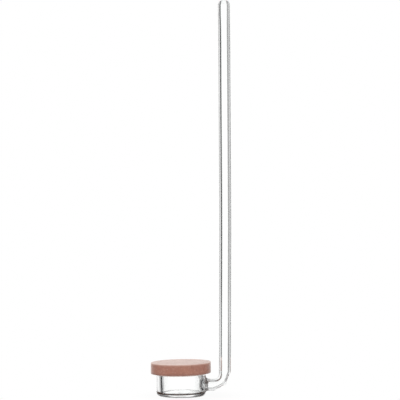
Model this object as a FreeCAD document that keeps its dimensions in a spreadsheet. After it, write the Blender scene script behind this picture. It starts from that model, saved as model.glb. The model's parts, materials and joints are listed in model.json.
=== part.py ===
import FreeCAD, Part
import math
import os
import Sketcher
from FreeCAD import Vector

"""Hang-in carbon dioxide diffuser for a planted aquarium.

A 6 mm borosilicate riser is hot bent through a right angle at its foot and sealed into the side of
a shallow glass gas cup.  A porous sintered ceramic disc is bonded over the mouth of the cup, and
the gas fed down the riser leaves the cup only through the pores of the disc.

Frame, millimetres: +Z up along the axis of the cup, +X from the cup towards the riser,
origin at the centre of the cup's flat underside.
"""

os.makedirs("parts", exist_ok=True)

doc = FreeCAD.newDocument("Diffuser")

# ---------------------------------------------------------------- driving dimensions

DIMENSIONS = [
    ("total_height", 200.0, "underside of the cup to the crest of the riser"),
    ("stem_dia", 6.0, "outside diameter of the riser tube"),
    ("stem_bore", 3.6, "bore of the riser tube"),
    ("stem_offset", 22.2, "cup axis to riser axis"),
    ("bend_radius", 6.4, "centreline radius of the elbow"),
    ("leg_height", 5.2, "height of the short horizontal leg's axis"),
    ("lip_length", 2.5, "length drawn in by fire polishing"),
    ("lip_round", 0.42, "radius of the fire-polished crest"),
    ("lip_mid", 1.8, "riser axis to the middle of the crest"),
    ("cup_dia", 25.0, "outside diameter of the gas cup"),
    ("cup_wall", 2.9, "wall of the gas cup"),
    ("cup_floor", 2.0, "floor of the gas cup"),
    ("cup_height", 11.3, "height of the gas cup's ground rim"),
    ("cup_corner", 1.8, "outside corner round of the cup"),
    ("floor_fillet", 0.5, "inside fillet between wall and floor"),
    ("rim_break", 0.25, "broken edges of the ground rim"),
    ("port_dia", 2.6, "gas port through the cup's wall"),
    ("weld_top", 2.4, "weld fillet's rise up the cup above the leg"),
    ("weld_side", 2.2, "weld fillet's spread beside the leg"),
    ("weld_foot", 0.9, "weld fillet's drop below the leg"),
    ("weld_reach", 2.3, "weld fillet's reach along the leg"),
    ("bond_gap", 0.2, "bond line between rim and disc"),
    ("bead_out", 0.7, "bead outside the rim"),
    ("bead_in", 0.45, "squeezed-out bead inside the rim"),
    ("disc_dia", 30.0, "diameter of the ceramic disc"),
    ("disc_thick", 5.4, "thickness of the ceramic disc"),
    ("disc_edge", 0.2, "broken edges of the ceramic disc"),
]

sheet = doc.addObject("Spreadsheet::Sheet", "Dims")
sheet.Label = "Dims"
for row, (alias, value, meaning) in enumerate(DIMENSIONS, start=1):
    sheet.set("A%d" % row, meaning)
    sheet.set("B%d" % row, str(value))
    sheet.setAlias("B%d" % row, alias)
doc.recompute()


def dim(alias):
    """The value of one cell of the sheet."""
    return float(sheet.get(alias))


# Sizes that several pieces share: the number, and where needed the expression that drives it.
CUP_OUTER = dim("cup_dia") / 2
CUP_INNER = CUP_OUTER - dim("cup_wall")
LEG_START = CUP_OUTER - dim("cup_wall") / 2
RIM_Z = dim("cup_height")
DISC_Z = RIM_Z + dim("bond_gap")
LEG_Z = dim("leg_height")
LIP_Z = dim("total_height") - dim("lip_length")
STEM_OUTER = dim("stem_dia") / 2
STEM_INNER = dim("stem_bore") / 2

CUP_OUTER_CELLS = "Dims.cup_dia / 2"
CUP_INNER_CELLS = "Dims.cup_dia / 2 - Dims.cup_wall"
LEG_START_CELLS = "Dims.cup_dia / 2 - Dims.cup_wall / 2"
DISC_Z_CELLS = "Dims.cup_height + Dims.bond_gap"
LIP_Z_CELLS = "Dims.total_height - Dims.lip_length"

# Sketcher's numbers for the points of a curve, and for the sketch's own axes and origin.
START, END, CENTRE = 1, 2, 3
X_AXIS, Y_AXIS = -1, -2
ORIGIN = (-1, 1)

# ---------------------------------------------------------------- sketch helpers


def new_body(label):
    body = doc.addObject("PartDesign::Body", label)
    body.Label = label
    return body


def new_sketch(body, name, role, **offset):
    """A sketch on an origin plane of the body; offset gives expressions for x, y or z."""
    sketch = body.newObject("Sketcher::SketchObject", name)
    plane = next(f for f in body.Origin.OriginFeatures if f.Role == role)
    sketch.AttachmentSupport = [(plane, "")]
    sketch.MapMode = "FlatFace"
    for field, expression in offset.items():
        sketch.setExpression("AttachmentOffset.Base." + field, expression)
    doc.recompute()
    return sketch


def add_line(sketch, start, end):
    return sketch.addGeometry(Part.LineSegment(Vector(*start), Vector(*end)), False)


def add_arc(sketch, centre, radius, first, last):
    """An arc that runs anticlockwise between two angles."""
    circle = Part.Circle(Vector(*centre), Vector(0, 0, 1), radius)
    return sketch.addGeometry(Part.ArcOfCircle(circle, first, last), False)


def constrain(sketch, kind, *args):
    return sketch.addConstraint(Sketcher.Constraint(kind, *args))


def drive(sketch, expression, kind, *args):
    """Adds a dimensional constraint bound to an expression of the sheet's cells."""
    index = constrain(sketch, kind, *args)
    sketch.setExpression("Constraints[%d]" % index, expression)


def pin(sketch, geo, point, x=None, y=None):
    """Drives a point's x and y from the sketch's origin by expressions."""
    here = sketch.getPoint(geo, point)
    if x:
        drive(sketch, x, "DistanceX", *ORIGIN, geo, point, here.x)
    if y:
        drive(sketch, y, "DistanceY", *ORIGIN, geo, point, here.y)


def add_circle(sketch, diameter, height=None):
    """A circle at the sketch's origin, or on its vertical axis at the height's cell."""
    radius = dim(diameter) / 2
    centre = Vector(0, dim(height) if height else 0, 0)
    geo = sketch.addGeometry(Part.Circle(centre, Vector(0, 0, 1), radius), False)
    if height:
        constrain(sketch, "PointOnObject", geo, CENTRE, Y_AXIS)
        pin(sketch, geo, CENTRE, y="Dims." + height)
    else:
        constrain(sketch, "Coincident", geo, CENTRE, *ORIGIN)
    drive(sketch, "Dims.%s / 2" % diameter, "Radius", geo, radius)


def add_polygon(sketch, corners):
    """A closed outline; a coordinate is (value, expression), with None to hold it on an axis."""
    count = len(corners)
    points = [(x[0], y[0], 0) for x, y in corners]
    for i in range(count):
        add_line(sketch, points[i], points[(i + 1) % count])
    for i in range(count):
        constrain(sketch, "Coincident", i, END, (i + 1) % count, START)
    for i, ((_, x), (_, y)) in enumerate(corners):
        pin(sketch, i, START, x, y)
        if x is None:
            constrain(sketch, "PointOnObject", i, START, Y_AXIS)
        if y is None:
            constrain(sketch, "PointOnObject", i, START, X_AXIS)


# ---------------------------------------------------------------- feature helpers


def revolve(body, name, sketch):
    """A full turn of the sketch about its own vertical axis."""
    doc.recompute()
    feature = body.newObject("PartDesign::Revolution", name)
    feature.Profile = sketch
    feature.ReferenceAxis = (sketch, ["V_Axis"])
    feature.Angle = 360.0
    doc.recompute()
    return feature


def pocket(body, name, sketch, length):
    """A cut that runs from the sketch along its normal."""
    doc.recompute()
    feature = body.newObject("PartDesign::Pocket", name)
    feature.Profile = sketch
    feature.Reversed = True
    feature.setExpression("Length", length)
    doc.recompute()
    return feature


def ring_edges(shape, radius, height, slack=1e-3):
    """Names of the circular edges about the Z axis with this radius at this height."""
    names = []
    for i, edge in enumerate(shape.Edges, start=1):
        if not isinstance(edge.Curve, Part.Circle):
            continue
        centre = edge.Curve.Center
        if (
            abs(edge.Curve.Radius - radius) < slack
            and abs(centre.z - height) < slack
            and math.hypot(centre.x, centre.y) < slack
        ):
            names.append("Edge%d" % i)
    if not names:
        raise RuntimeError("no ring edge of radius %g at height %g" % (radius, height))
    return names


def fillet(body, name, base, rings, radius):
    """Rounds the ring edges given as (radius, height) pairs."""
    feature = body.newObject("PartDesign::Fillet", name)
    edges = [edge for ring in rings for edge in ring_edges(base.Shape, *ring)]
    feature.Base = (base, edges)
    feature.setExpression("Radius", radius)
    doc.recompute()
    return feature


def require_gain(smaller, larger, least, failure):
    """Stops unless one feature's shape outweighs the other's by at least this volume."""
    if larger.Shape.Volume - smaller.Shape.Volume < least:
        raise RuntimeError(failure)


# ---------------------------------------------------------------- gas cup


def build_cup():
    """A short piece of tube closed flat in the flame, its rim ground level to take the disc."""
    cup = new_body("gas_cup")
    profile = new_sketch(cup, "CupProfile", "XZ_Plane")
    axis = base = (0, None)
    outer = (CUP_OUTER, CUP_OUTER_CELLS)
    inner = (CUP_INNER, CUP_INNER_CELLS)
    top = (RIM_Z, "Dims.cup_height")
    floor = (dim("cup_floor"), "Dims.cup_floor")
    add_polygon(
        profile,
        [(axis, base), (outer, base), (outer, top), (inner, top), (inner, floor), (axis, floor)],
    )
    turned = revolve(cup, "CupTurned", profile)

    corner = fillet(cup, "CupCorner", turned, [(CUP_OUTER, 0.0)], "Dims.cup_corner")
    floor_ring = (CUP_INNER, dim("cup_floor"))
    hollow = fillet(cup, "FloorFillet", corner, [floor_ring], "Dims.floor_fillet")
    rim_rings = [(CUP_OUTER, RIM_Z), (CUP_INNER, RIM_Z)]
    rim = fillet(cup, "RimBreak", hollow, rim_rings, "Dims.rim_break")

    # The port is narrower than the riser's bore: the seal's heat has drawn it in.
    section = new_sketch(cup, "PortSection", "YZ_Plane")
    add_circle(section, "port_dia", "leg_height")
    port = pocket(cup, "GasPort", section, "Dims.cup_dia")
    require_gain(port, rim, 10.0, "the gas port cut nothing")
    return cup


# ---------------------------------------------------------------- riser, elbow and leg


def draw_stem_path(path):
    """Centreline of the leg, the elbow and the riser."""
    bend = dim("bend_radius")
    riser_x = dim("stem_offset")
    bend_x, bend_z = riser_x - bend, LEG_Z + bend
    leg = add_line(path, (LEG_START, LEG_Z, 0), (bend_x, LEG_Z, 0))
    elbow = add_arc(path, (bend_x, bend_z, 0), bend, -math.pi / 2, 0.0)
    riser = add_line(path, (riser_x, bend_z, 0), (riser_x, LIP_Z, 0))
    constrain(path, "Horizontal", leg)
    constrain(path, "Vertical", riser)
    constrain(path, "Tangent", leg, END, elbow, START)
    constrain(path, "Tangent", elbow, END, riser, START)
    drive(path, "Dims.bend_radius", "Radius", elbow, bend)
    pin(path, leg, START, LEG_START_CELLS, "Dims.leg_height")
    pin(path, riser, END, "Dims.stem_offset", LIP_Z_CELLS)


def draw_lip(lip):
    """Section of the hose end: two arcs, each tangent to a tube wall, meet in a round crest."""
    crest_radius, crest_x = dim("lip_round"), dim("lip_mid")
    drop = dim("lip_length") - crest_radius

    def flank(wall, side):
        """Radius and end angle of the arc from a tube wall; side is +1 outside, -1 in the bore."""
        squares = drop**2 + (wall - crest_x) ** 2 - crest_radius**2
        radius = squares / (2 * (wall - crest_x - side * crest_radius))
        return radius, math.atan2(drop, crest_x - wall + radius)

    out_radius, out_angle = flank(STEM_OUTER, 1)
    in_radius, in_angle = flank(STEM_INNER, -1)
    base = add_line(lip, (STEM_INNER, LIP_Z, 0), (STEM_OUTER, LIP_Z, 0))
    outside = add_arc(lip, (STEM_OUTER - out_radius, LIP_Z, 0), out_radius, 0.0, out_angle)
    crest = add_arc(
        lip, (crest_x, LIP_Z + drop, 0), crest_radius, out_angle, math.pi + in_angle
    )
    inside = add_arc(lip, (STEM_INNER - in_radius, LIP_Z, 0), in_radius, 0.0, in_angle)
    constrain(lip, "Coincident", base, END, outside, START)
    constrain(lip, "Coincident", base, START, inside, START)
    constrain(lip, "Tangent", outside, END, crest, START)
    constrain(lip, "Tangent", crest, END, inside, END)
    constrain(lip, "Horizontal", base)
    pin(lip, base, START, "Dims.stem_bore / 2", LIP_Z_CELLS)
    pin(lip, base, END, "Dims.stem_dia / 2")
    pin(lip, outside, CENTRE, y=LIP_Z_CELLS)
    pin(lip, inside, CENTRE, y=LIP_Z_CELLS)
    pin(lip, crest, CENTRE, "Dims.lip_mid", "Dims.total_height - Dims.lip_round")
    drive(lip, "Dims.lip_round", "Radius", crest, crest_radius)


def build_stem():
    """One length of tube: a straight riser, a hot-bent elbow and a short leg to the cup."""
    stem = new_body("stem_tube")
    path = new_sketch(stem, "StemPath", "XZ_Plane")
    draw_stem_path(path)
    section = new_sketch(stem, "StemSection", "YZ_Plane", z=LEG_START_CELLS)
    add_circle(section, "stem_dia", "leg_height")
    add_circle(section, "stem_bore", "leg_height")
    doc.recompute()
    tube = stem.newObject("PartDesign::AdditivePipe", "StemPipe")
    tube.Profile = section
    tube.Spine = (path, ["Edge1", "Edge2", "Edge3"])
    doc.recompute()

    # The leg starts inside the cup's wall and is trimmed to the round of the cup.
    saddle_circle = new_sketch(stem, "SaddleCircle", "XY_Plane")
    add_circle(saddle_circle, "cup_dia")
    saddle = pocket(stem, "SaddleEnd", saddle_circle, "Dims.cup_height")
    require_gain(saddle, tube, 1.0, "the saddle cut removed nothing")

    lip = new_sketch(stem, "FireLip", "XZ_Plane", x="Dims.stem_offset")
    draw_lip(lip)
    polished = revolve(stem, "FirePolishedEnd", lip)
    require_gain(saddle, polished, 10.0, "the fire-polished end added nothing")
    return stem


# ---------------------------------------------------------------- ceramic disc


def build_disc():
    disc = new_body("diffuser_disc")
    blank = new_sketch(disc, "DiscCircle", "XY_Plane", z=DISC_Z_CELLS)
    add_circle(blank, "disc_dia")
    doc.recompute()
    pad = disc.newObject("PartDesign::Pad", "DiscPad")
    pad.Profile = blank
    pad.setExpression("Length", "Dims.disc_thick")
    doc.recompute()
    radius = dim("disc_dia") / 2
    rings = [(radius, DISC_Z), (radius, DISC_Z + dim("disc_thick"))]
    fillet(disc, "DiscEdges", pad, rings, "Dims.disc_edge")
    return disc


# ---------------------------------------------------------------- bond between rim and disc

BEAD_SAG = 0.42  # share of the way from a bead's chord to its corner that its arc sags


def bead_arc(start, end, corner):
    """A shallow arc from start to end that sags towards the corner."""
    middle = (start + end) * 0.5
    return Part.Arc(start, middle + (corner - middle) * BEAD_SAG, end)


def arc_ends(sketch, geo, first, second):
    """The arc's point numbers at first and at second, as the sketch may turn the arc round."""
    start = sketch.getPoint(geo, START)
    if start.distanceToPoint(first) < start.distanceToPoint(second):
        return START, END
    return END, START


def build_bond(cup):
    """A clear adhesive ring: a thin line on the rim, with hollow beads outside and inside it.

    The blank runs down into the rim and the cup is then cut from it, so the two fit.
    """
    blank = new_body("BondBlank")
    sketch = new_sketch(blank, "BondProfile", "XZ_Plane")
    bead_in, bead_out = dim("bead_in"), dim("bead_out")
    in_top = Vector(CUP_INNER - bead_in, DISC_Z, 0)
    in_low = Vector(CUP_INNER, RIM_Z - bead_in, 0)
    out_low = Vector(CUP_OUTER, RIM_Z - bead_out, 0)
    out_top = Vector(CUP_OUTER + bead_out, DISC_Z, 0)

    inner_arc = bead_arc(in_top, in_low, Vector(CUP_INNER, DISC_Z, 0))
    outer_arc = bead_arc(out_low, out_top, Vector(CUP_OUTER, DISC_Z, 0))
    inner = sketch.addGeometry(inner_arc, False)
    bottom = add_line(sketch, in_low, out_low)
    outer = sketch.addGeometry(outer_arc, False)
    top = add_line(sketch, out_top, in_top)

    inner_top, inner_low = arc_ends(sketch, inner, in_top, in_low)
    outer_low, outer_top = arc_ends(sketch, outer, out_low, out_top)
    constrain(sketch, "Coincident", inner, inner_low, bottom, START)
    constrain(sketch, "Coincident", bottom, END, outer, outer_low)
    constrain(sketch, "Coincident", outer, outer_top, top, START)
    constrain(sketch, "Coincident", top, END, inner, inner_top)
    pin(sketch, bottom, START, CUP_INNER_CELLS, "Dims.cup_height - Dims.bead_in")
    pin(sketch, bottom, END, CUP_OUTER_CELLS, "Dims.cup_height - Dims.bead_out")
    pin(sketch, top, START, CUP_OUTER_CELLS + " + Dims.bead_out", DISC_Z_CELLS)
    pin(sketch, top, END, CUP_INNER_CELLS + " - Dims.bead_in", DISC_Z_CELLS)
    for geo, alias in ((inner, "bead_in"), (outer, "bead_out")):
        radius = sketch.Geometry[geo].Radius
        expression = "Dims.%s * %.6f" % (alias, radius / dim(alias))
        drive(sketch, expression, "Radius", geo, radius)
    revolve(blank, "BondTurned", sketch)

    bond = doc.addObject("Part::Cut", "disc_bond")
    bond.Label = "disc_bond"
    bond.Base = blank
    bond.Tool = cup
    doc.recompute()
    return bond


# ---------------------------------------------------------------- weld fillet of the T-seal

WELD_SECTIONS = 24
WELD_STEP = 0.06  # the weld's edges stand this far off the two tubes, so they end in a crisp step
WELD_INTO_LEG = 0.5  # overlap with the leg, cut away afterwards
WELD_INTO_CUP = 0.7  # overlap with the cup, cut away afterwards
REACH_MEAN, REACH_SWING = 0.8, 0.2  # share of the reach: the sum above the leg, less below it
CORE_OVERLAP = 1.0  # the core that is cut out starts this far inside the cup's bore


def cup_radius(z):
    """Outside radius of the cup at a height."""
    corner = dim("cup_corner")
    if z >= corner:
        return CUP_OUTER
    return CUP_OUTER - corner + math.sqrt(max(corner**2 - (corner - z) ** 2, 0.0))


def weld_section(angle):
    """Outline of the weld in a half plane through the leg's axis, angle from +Z towards +Y."""
    sine, cosine = math.sin(angle), math.cos(angle)
    side = dim("weld_side")
    extreme = dim("weld_top") if cosine > 0 else dim("weld_foot")
    edge = STEM_OUTER + side + (extreme - side) * abs(cosine)
    reach = dim("weld_reach") * (REACH_MEAN + REACH_SWING * cosine)

    def wall_x(distance):
        """X of the cup's outside at a distance from the leg's axis."""
        return math.sqrt(cup_radius(LEG_Z + distance * cosine) ** 2 - (distance * sine) ** 2)

    def point(x, distance):
        return Vector(x, distance * sine, LEG_Z + distance * cosine)

    edge_x, leg_x = wall_x(edge), wall_x(STEM_OUTER)
    surface = STEM_OUTER + WELD_STEP
    buried = STEM_OUTER - WELD_INTO_LEG
    on_wall = point(edge_x + WELD_STEP, edge)
    knee = point(leg_x + WELD_STEP, surface)
    on_leg = point(leg_x + reach, surface)
    curve = Part.BezierCurve()
    curve.setPoles([on_wall, knee, on_leg])
    corners = [
        on_leg,
        point(leg_x + reach, buried),
        point(leg_x - WELD_INTO_CUP, buried),
        point(edge_x - WELD_INTO_CUP, edge),
        on_wall,
    ]
    lines = [Part.makeLine(a, b) for a, b in zip(corners, corners[1:])]
    return Part.Wire([curve.toShape()] + lines)


def build_weld():
    """Glass drawn up round the leg at the cup: tall above it, thin below where the cup turns under.

    Sections round the leg's axis are skinned into a closed ring, and cup and leg are cut from it.
    """
    rings = [weld_section(2 * math.pi * i / WELD_SECTIONS) for i in range(WELD_SECTIONS)]
    skin = Part.makeLoft(rings + [rings[0]], True, False, False)
    # The closed loft may come out turned inside out.
    if skin.Volume < 0:
        skin = skin.reversed()
    core = Part.makeCylinder(
        STEM_OUTER,
        dim("stem_offset") - CUP_INNER,
        Vector(CUP_INNER - CORE_OVERLAP, 0, LEG_Z),
        Vector(1, 0, 0),
    )
    solid_cup = Part.makeCylinder(CUP_OUTER, RIM_Z)
    lower = [
        e
        for e in solid_cup.Edges
        if isinstance(e.Curve, Part.Circle) and abs(e.Curve.Center.z) < 1e-6
    ]
    solid_cup = solid_cup.makeFillet(dim("cup_corner"), lower)
    weld = doc.addObject("Part::Feature", "stem_weld")
    weld.Label = "stem_weld"
    weld.Shape = skin.cut(solid_cup).cut(core)
    doc.recompute()
    return weld


# ---------------------------------------------------------------- build, check and export

gas_cup = build_cup()
pieces = [gas_cup, build_stem(), build_disc(), build_bond(gas_cup), build_weld()]

for obj in doc.Objects:
    if "Invalid" in obj.State or "Error" in obj.State:
        raise RuntimeError("%s (%s) failed: %s" % (obj.Name, obj.Label, obj.State))
for piece in pieces:
    shape = piece.Shape
    if shape.isNull() or not shape.isValid() or shape.Volume <= 0 or not shape.Solids:
        raise RuntimeError("%s has no valid solid" % piece.Label)
for piece in pieces:
    piece.Shape.exportStep(os.path.join("parts", piece.Label + ".step"))
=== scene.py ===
"""Looks of a hang-in carbon dioxide diffuser: lamp-blown clear glass with a porous ceramic disc.

The cup stands on z = 0 about the Z axis with its mouth up, and the disc lies on its ground rim.
The tube leaves the cup's side as a leg along +X, turns in an elbow and rises along +Z.

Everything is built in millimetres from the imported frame's own sizes and handed to Blender in
metres.  The glass is three closed pieces: the cup, the bent tube and the weld fillet between them.
Where two of them are fused, or where adhesive wets the glass, their touching faces carry a clear
interface material, so the joined glass has no false surface inside it.
"""

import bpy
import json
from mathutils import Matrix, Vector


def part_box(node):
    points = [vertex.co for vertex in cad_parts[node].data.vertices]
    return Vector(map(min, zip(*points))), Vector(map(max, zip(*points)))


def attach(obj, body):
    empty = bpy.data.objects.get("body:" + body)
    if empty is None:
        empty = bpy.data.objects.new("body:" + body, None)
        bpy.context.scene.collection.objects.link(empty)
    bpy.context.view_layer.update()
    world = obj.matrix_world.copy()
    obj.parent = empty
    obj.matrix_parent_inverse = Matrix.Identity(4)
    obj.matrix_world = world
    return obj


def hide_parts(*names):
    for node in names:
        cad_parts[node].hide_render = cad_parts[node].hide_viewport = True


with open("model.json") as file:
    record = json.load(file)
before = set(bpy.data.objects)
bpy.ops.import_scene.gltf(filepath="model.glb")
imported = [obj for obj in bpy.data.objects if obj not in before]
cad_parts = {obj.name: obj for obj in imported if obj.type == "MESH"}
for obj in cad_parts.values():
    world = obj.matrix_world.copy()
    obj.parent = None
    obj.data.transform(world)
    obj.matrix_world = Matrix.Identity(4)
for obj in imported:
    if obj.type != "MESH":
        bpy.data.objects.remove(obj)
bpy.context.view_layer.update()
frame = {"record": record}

import json
import math
from itertools import product

import bmesh
import bpy
import numpy as np

MM = 0.001
TAU = 2 * math.pi

# ------------------------------------------------------------------ sizes, from the frame


def box_mm(node):
    low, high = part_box(node)
    return np.array(low) / MM, np.array(high) / MM


cup_low, cup_high = box_mm("gas_cup")
stem_low, stem_high = box_mm("stem_tube")
disc_low, disc_high = box_mm("diffuser_disc")
bond_low, bond_high = box_mm("disc_bond")
hose_end = {m["name"]: m for m in frame["record"]["mounts"]}["hose_end"]

CUP_R = (cup_high[0] - cup_low[0]) / 2
CUP_H = cup_high[2]  # the ground rim
TUBE_R = hose_end["dims"]["r_mm"]
STEM_X = hose_end["pos_m"][0] / MM
TOP = stem_high[2]
LEG_Z = stem_low[2] + TUBE_R
DISC_R = (disc_high[0] - disc_low[0]) / 2
DISC_LOW, DISC_HIGH = disc_low[2], disc_high[2]
BEAD_R = (bond_high[0] - bond_low[0]) / 2  # the bond's widest ring under the disc

# cup
WALL = 2.9
CUP_RI = CUP_R - WALL
FLOOR = 2.0  # thickness of the floor
CORNER = 1.8  # outside corner between base and side
FILLET = 0.5  # inside corner between floor and wall
BREAK = 0.25  # rounding of the rim's two edges
BEAD_OUT = CUP_H - bond_low[2]  # the outer bead's drop below the rim
BEAD_IN = 0.45  # the inner bead's
PORT = 1.3  # radius of the hole through the wall
PORT_SOFT = 1.0  # the port's inner edge, rounded by the flame

# tube
BORE = 1.8  # bore radius
BORE_FLARE = 0.10  # how far the heated end opens the bore
BEND = 6.4  # radius of the elbow's centre line
SINK_OUT, SINK_IN = 0.70, 0.30  # how far the elbow's outer and inner side sink in
PINCH_OUT, PINCH_IN = 0.68, 0.40  # and the bore's
RIDGE = 0.5  # share of the sinking that the outer side's blunt corner keeps clear of
LEG_START = 14.2  # where the angle round the elbow starts to be counted on the leg
LEG_END = STEM_X - BEND
LIP = 2.5  # length drawn in by fire polishing
CREST_R, CREST_MID = 0.42, 1.8  # the lip's round crest, and its distance from the tube's axis

# weld: how far it climbs the cup above, beside and below the leg, and how far it runs along it
WELD_ABOVE, WELD_BESIDE, WELD_BELOW = 2.3, 2.2, 0.85
WELD_ALONG = 2.3

# ------------------------------------------------------------------ seeded noise


def lattice(cell, seed):
    """A number from 0 to 1 for each lattice point."""
    mask = np.uint64(0xFFFFFFFF)
    ix, iy, iz = np.asarray(cell).astype(np.int64).astype(np.uint64).T & mask
    code = (
        ix * np.uint64(374761393)
        + iy * np.uint64(668265263)
        + iz * np.uint64(2147483647)
        + np.uint64(seed * 974711 + 12345)
    ) & mask
    code = ((code ^ (code >> np.uint64(13))) * np.uint64(1274126177)) & mask
    code = ((code ^ (code >> np.uint64(16))) * np.uint64(2246822519)) & mask
    code = code ^ (code >> np.uint64(15))
    return code.astype(float) / 4294967295.0


def noise(points, size, seed):
    """Smooth noise from -1 to 1 with features of this size in millimetres."""
    scaled = np.asarray(points, float) / size
    cell = np.floor(scaled)
    part = scaled - cell
    part = part * part * part * (part * (part * 6 - 15) + 10)
    total = np.zeros(len(scaled))
    for step in product((0, 1), repeat=3):
        near = np.where(step, part, 1 - part)
        total += near[:, 0] * near[:, 1] * near[:, 2] * lattice(cell + step, seed)
    return total * 2 - 1


def layered_noise(points, size, seed, octaves, gain=0.5):
    total, strength, norm = 0.0, 1.0, 0.0
    for octave in range(octaves):
        total = total + strength * noise(points, size / 2**octave, seed + octave)
        norm += strength
        strength *= gain
    return total / norm


def smooth(start, end, value):
    """Smooth step from 0 at start to 1 at end."""
    part = np.clip((np.asarray(value, float) - start) / (end - start), 0, 1)
    return part * part * (3 - 2 * part)


def pits(points, size, seed, chance, r_min, r_max):
    """Depth from 0 to 1 of round pits scattered one to a cell, each of its own radius."""
    home = np.floor(points / size)
    depth = np.zeros(len(points))
    for step in product((-1, 0, 1), repeat=3):
        cell = home + np.array(step)
        jitter = np.stack([lattice(cell, seed + k) for k in range(3)], 1)
        radius = r_min + (r_max - r_min) * lattice(cell, seed + 3) ** 2
        there = lattice(cell, seed + 4) < chance
        reach = np.linalg.norm(points - (cell + jitter) * size, axis=1) / radius
        pit = np.maximum(1 - reach * reach, 0) ** 1.5
        depth = np.maximum(depth, np.where(there, pit, 0))
    return depth


# ------------------------------------------------------------------ hand-made drift

LEAN = math.tan(math.radians(1.15))

# the riser's sideways drift: (height, drift along X)
BOW_POINTS = [
    (0, 0), (14, 0.04), (26, 0.08), (56, 0.13), (75, 0.18), (87, 0.20),
    (107, 0.12), (130, -0.03), (157, -0.20), (178, -0.31), (198, -0.50), (205, -0.56),
]


def lean(points):
    """How far the cup leans: it sits a degree out of square with the riser, its side with the leg
    higher, while its flat base stays level.  Everything fixed to the cup goes with it."""
    points = np.asarray(points, float)
    x, z = points[:, 0], points[:, 2]
    low, high = 1 - smooth(12.3, 19.2, x), 1 - smooth(15.3, 18.5, x)
    part = smooth(9.0, 11.0, z)
    keep = smooth(0.0, 2.2, z) * (low * (1 - part) + high * part)
    return LEAN * keep[:, None] * np.stack([-(z - LEG_Z) * 0.7, np.zeros(len(z)), x], 1)


def bow_table():
    """Heights, and the riser's drift at each, smoothed between the measured points."""
    z = np.linspace(0, 205, 411)
    x = np.interp(z, *zip(*BOW_POINTS))
    pad = 24
    kernel = np.hanning(2 * pad + 1)
    kernel /= kernel.sum()
    padded = np.concatenate([np.full(pad, x[0]), x, np.linspace(x[-1], x[-1] - 0.09, pad)])
    return z, np.convolve(padded, kernel, "valid")


BOW_Z, BOW_X = bow_table()


def glass_drift(points):
    """The hand-made drift of the glass, the same for every piece so that fused faces stay
    together.  Its ripple fades out at the flat base and at the ground rim."""
    points = np.asarray(points, float)
    x, z = points[:, 0], points[:, 2]
    near_cup = 1 - smooth(14.0, 17.5, np.hypot(x, points[:, 1]))
    keep = smooth(0.0, 2.6, z)
    keep = keep * (1 - near_cup * smooth(8.6, 10.5, z))
    keep = keep * (1 - 0.75 * smooth(16.0, 30.0, z))
    ripple = np.stack(
        [
            noise(points, 9.0, seed=11),
            noise(points, 9.0, seed=12),
            0.6 * noise(points, 9.0, seed=13),
        ],
        1,
    )
    drift = lean(points) + 0.045 * keep[:, None] * ripple
    # the riser isn't quite straight: it bows outwards low down and bends back towards its top
    drift[:, 0] += np.interp(z, BOW_Z, BOW_X) * smooth(17.0, 19.0, x)
    return drift


# ------------------------------------------------------------------ shader helpers


def add_node(tree, kind, inputs=None, **settings):
    """A shader node with its settings; each input is a value, or a socket to link from."""
    node = tree.nodes.new("ShaderNode" + kind)
    for key, value in settings.items():
        setattr(node, key, value)
    for key, value in (inputs or {}).items():
        if isinstance(value, bpy.types.NodeSocket):
            tree.links.new(value, node.inputs[key])
        else:
            node.inputs[key].default_value = value
    return node


def add_ramp(tree, factor, stops):
    """A colour ramp through (position, (red, green, blue)) stops."""
    node = add_node(tree, "ValToRGB", {"Fac": factor})
    elements = node.color_ramp.elements
    while len(elements) < len(stops):
        elements.new(0.5)
    for k, (position, colour) in enumerate(stops):
        elements[k].position = position
        elements[k].color = (*colour, 1)
    return node.outputs["Color"]


def add_math(tree, operation, *values):
    return add_node(tree, "Math", dict(enumerate(values)), operation=operation).outputs[0]


def mix_shaders(tree, factor, first, second):
    return add_node(tree, "MixShader", {0: factor, 1: first, 2: second}).outputs[0]


def empty_tree(owner):
    owner.use_nodes = True
    owner.node_tree.nodes.clear()
    return owner.node_tree


def new_material(name):
    material = bpy.data.materials.new(name)
    return material, empty_tree(material)


def set_surface(tree, shader):
    add_node(tree, "OutputMaterial", {"Surface": shader})


# ------------------------------------------------------------------ materials


def clear_material(name, colour, roughness, ior, transmission):
    material, tree = new_material(name)
    inputs = {
        "Base Color": (*colour, 1),
        "Roughness": roughness,
        "IOR": ior,
        "Transmission Weight": transmission,
    }
    set_surface(tree, add_node(tree, "BsdfPrincipled", inputs).outputs["BSDF"])
    return material


def glass_material(name, roughness):
    return clear_material(
        name, colour=(0.992, 0.998, 0.995), roughness=roughness, ior=1.474, transmission=1.0
    )


def fused_material():
    material, tree = new_material("fused_interface")
    shader = add_node(tree, "BsdfTransparent", {"Color": (1, 1, 1, 1)})
    set_surface(tree, shader.outputs["BSDF"])
    return material


def bond_material():
    # half clear and rough like cured adhesive; its pale pink tint is a painted reflection of the
    # ceramic above
    return clear_material(
        "clear_bond", colour=(0.95, 0.82, 0.77), roughness=0.55, ior=1.45, transmission=0.5
    )


# marks painted on the disc's vertices, wear and painted shade and painted light among them:
# (attribute, strength, colour)
CERAMIC_MARKS = [
    ("pit", 0.75, (0.16, 0.065, 0.045)),  # pits hold shade
    ("worn", 0.5, (0.70, 0.50, 0.43)),  # rubbed edges are paler, and the top edge carries a painted highlight
    ("dusty", 0.55, (0.66, 0.47, 0.40)),  # painted light and glare that make the top face paler
    ("damp", 0.55, (0.19, 0.075, 0.050)),  # painted shade along the lower edge of the side
    ("under", 0.72, (0.085, 0.068, 0.060)),  # painted shade on the under face over the cup's mouth
]


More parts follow.
